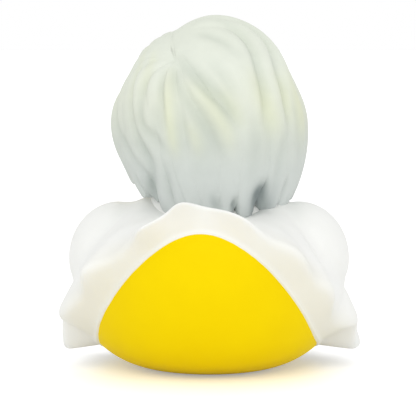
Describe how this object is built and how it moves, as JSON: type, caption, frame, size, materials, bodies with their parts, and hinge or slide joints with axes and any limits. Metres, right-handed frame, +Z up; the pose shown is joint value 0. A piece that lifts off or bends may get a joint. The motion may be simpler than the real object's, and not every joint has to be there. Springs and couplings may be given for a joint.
{
  "type": "rubber duck",
  "caption": "Hollow vinyl bath duck in a loose white shirt with a fluted hem lifted over its round yellow tail, and a sculpted mop of pale hair; it stands on the flat of its belly.",
  "frame": {"origin": "middle of the flat of the belly, on the surface that the duck stands on", "axes": "+Z up, the bill points along -Y and the tail along +Y, and +X is on the left when the duck is seen from behind"},
  "size_m": [0.0798, 0.0928, 0.0934],
  "materials": {
    "yellow_vinyl": "satin",
    "white_paint": "satin",
    "hair_paint": "matte",
    "orange_paint": "satin",
    "black_paint": "gloss"
  },
  "bodies": {
    "root": {"duck": "yellow_vinyl"}
  },
  "joints": []
}
